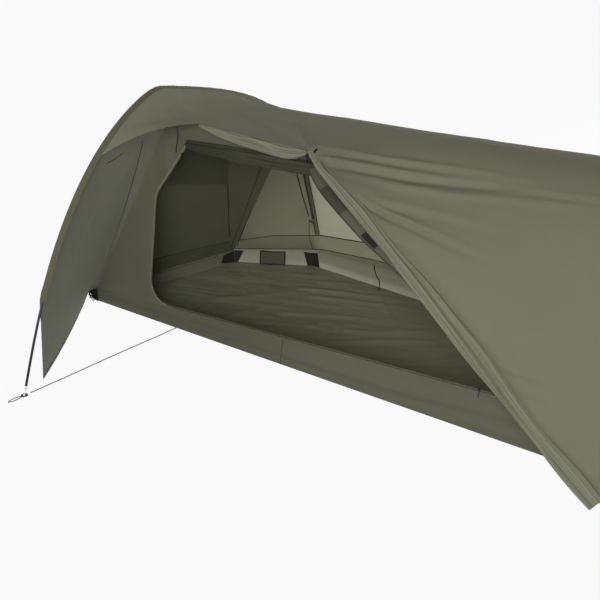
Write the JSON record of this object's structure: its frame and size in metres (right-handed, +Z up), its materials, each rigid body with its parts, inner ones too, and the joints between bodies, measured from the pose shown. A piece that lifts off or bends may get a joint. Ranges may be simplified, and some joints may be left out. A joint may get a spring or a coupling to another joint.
{
  "type": "lightweight tent",
  "caption": "One-person arch tent with a fly, an inner tent with a side door held open, two shock-corded arch poles, zips, toggles and corner buckles.",
  "frame": {"origin": "middle of the groundsheet underside, on the ground", "axes": "+X along the floor towards the foot end, +Z up, so that -Y is the side with the door"},
  "size_m": [2.6227, 1.7287, 0.9548],
  "materials": {
    "fly_cloth": "matt ripstop with a faint grid",
    "sleeve_cloth": "matt tape, browner than the fly",
    "inner_cloth": "thin, translucent, matt",
    "groundsheet_cloth": "coated, slightly satin",
    "pole_tube": "black anodised",
    "bare_metal": "turned, bare",
    "cord": "braided",
    "webbing": "woven, matt",
    "black_plastic": "moulded",
    "mesh": "open mesh"
  },
  "bodies": {
    "tent": {"corner_patch_arch": "webbing", "corner_patch_head": "webbing", "corner_strap_far_foot": "webbing", "corner_strap_far_head": "webbing", "corner_strap_near_foot": "webbing", "corner_strap_near_head": "webbing", "eyelet_foot_far": "webbing", "eyelet_foot_near": "webbing", "eyelet_main_far": "webbing", "eyelet_main_near": "webbing", "fly_back": "fly_cloth", "fly_door_roll": "fly_cloth", "fly_door_strip": "fly_cloth", "fly_foot_end": "fly_cloth", "fly_head_end": "fly_cloth", "fly_roof": "fly_cloth", "fly_vestibule_panel": "fly_cloth", "foot_pole_section_1": "pole_tube", "foot_pole_section_2": "pole_tube", "foot_pole_section_3": "pole_tube", "foot_pole_section_4": "pole_tube", "foot_pole_section_5": "pole_tube", "foot_pole_shock_cord": "cord", "foot_pole_tip_far": "bare_metal", "foot_pole_tip_near": "bare_metal", "foot_sleeve": "sleeve_cloth", "ground_strap_foot": "webbing", "ground_strap_main": "webbing", "groundsheet_tub": "groundsheet_cloth", "inner_door_roll": "inner_cloth", "inner_door_zip": "webbing", "inner_far_wall": "inner_cloth", "inner_foot_wall": "inner_cloth", "inner_head_wall": "inner_cloth", "inner_near_wall": "inner_cloth", "main_pole_section_1": "pole_tube", "main_pole_section_2": "pole_tube", "main_pole_section_3": "pole_tube", "main_pole_section_4": "pole_tube", "main_pole_section_5": "pole_tube", "main_pole_section_6": "pole_tube", "main_pole_shock_cord": "cord", "main_pole_tip_far": "bare_metal", "main_pole_tip_near": "bare_metal", "main_sleeve": "sleeve_cloth", "mesh_pocket": "mesh", "peg_loop_main_near": "webbing"},
    "zip_slider_upper_body": {"zip_slider_upper": "bare_metal"},
    "zip_pull_upper_body": {"zip_pull_upper": "webbing"},
    "zip_slider_lower_body": {"zip_slider_lower": "bare_metal"},
    "zip_pull_lower_body": {"zip_pull_lower": "webbing"},
    "door_toggle_1_body": {"door_toggle_1": "black_plastic"},
    "door_toggle_2_body": {"door_toggle_2": "black_plastic"},
    "hem_buckle_near_head_body": {"hem_buckle_near_head": "black_plastic"},
    "hem_buckle_near_foot_body": {"hem_buckle_near_foot": "black_plastic"},
    "hem_buckle_far_foot_body": {"hem_buckle_far_foot": "black_plastic"},
    "hem_buckle_far_head_body": {"hem_buckle_far_head": "black_plastic"}
  },
  "joints": [
    {"name": "upper_zip_travel", "type": "slide", "parent": "tent", "child": "zip_slider_upper_body", "axis": [-0.6419, 0, -0.7668], "range_m": [-0.012, 0.185]},
    {"name": "upper_pull_swing", "type": "hinge", "parent": "zip_slider_upper_body", "child": "zip_pull_upper_body", "pos_m": [-0.5994, -0.4556, 0.7083], "axis": [1, 0, 0], "range_deg": [-80, 0]},
    {"name": "lower_zip_travel", "type": "slide", "parent": "tent", "child": "zip_slider_lower_body", "axis": [0.9989, 0, 0.046], "range_m": [-1.36, 0.02]},
    {"name": "lower_pull_swing", "type": "hinge", "parent": "zip_slider_lower_body", "child": "zip_pull_lower_body", "pos_m": [0.64045, -0.4556, 0.15199], "axis": [1, 0, 0], "range_deg": [-80, 0]},
    {"name": "toggle_1_swing", "type": "hinge", "parent": "tent", "child": "door_toggle_1_body", "pos_m": [0.02903, -0.528, 0.82272], "axis": [1, 0, 0], "range_deg": [-30, 10]},
    {"name": "toggle_2_swing", "type": "hinge", "parent": "tent", "child": "door_toggle_2_body", "pos_m": [0.04201, -0.528, 0.82202], "axis": [1, 0, 0], "range_deg": [-30, 10]},
    {"name": "buckle_near_head_tilt", "type": "hinge", "parent": "tent", "child": "hem_buckle_near_head_body", "pos_m": [-1.15712, -0.46429, 0.02], "axis": [0.6407, -0.7678, 0], "range_deg": [-35, 10]},
    {"name": "buckle_near_foot_tilt", "type": "hinge", "parent": "tent", "child": "hem_buckle_near_foot_body", "pos_m": [1.1623, -0.39, 0.02], "axis": [0, 1, 0], "range_deg": [-35, 10]},
    {"name": "buckle_far_foot_tilt", "type": "hinge", "parent": "tent", "child": "hem_buckle_far_foot_body", "pos_m": [1.1623, 0.2, 0.02], "axis": [0, 1, 0], "range_deg": [-35, 10]},
    {"name": "buckle_far_head_tilt", "type": "hinge", "parent": "tent", "child": "hem_buckle_far_head_body", "pos_m": [-1.02815, 0.27795, 0.02], "axis": [-0.5809, -0.814, 0], "range_deg": [-35, 10]}
  ]
}
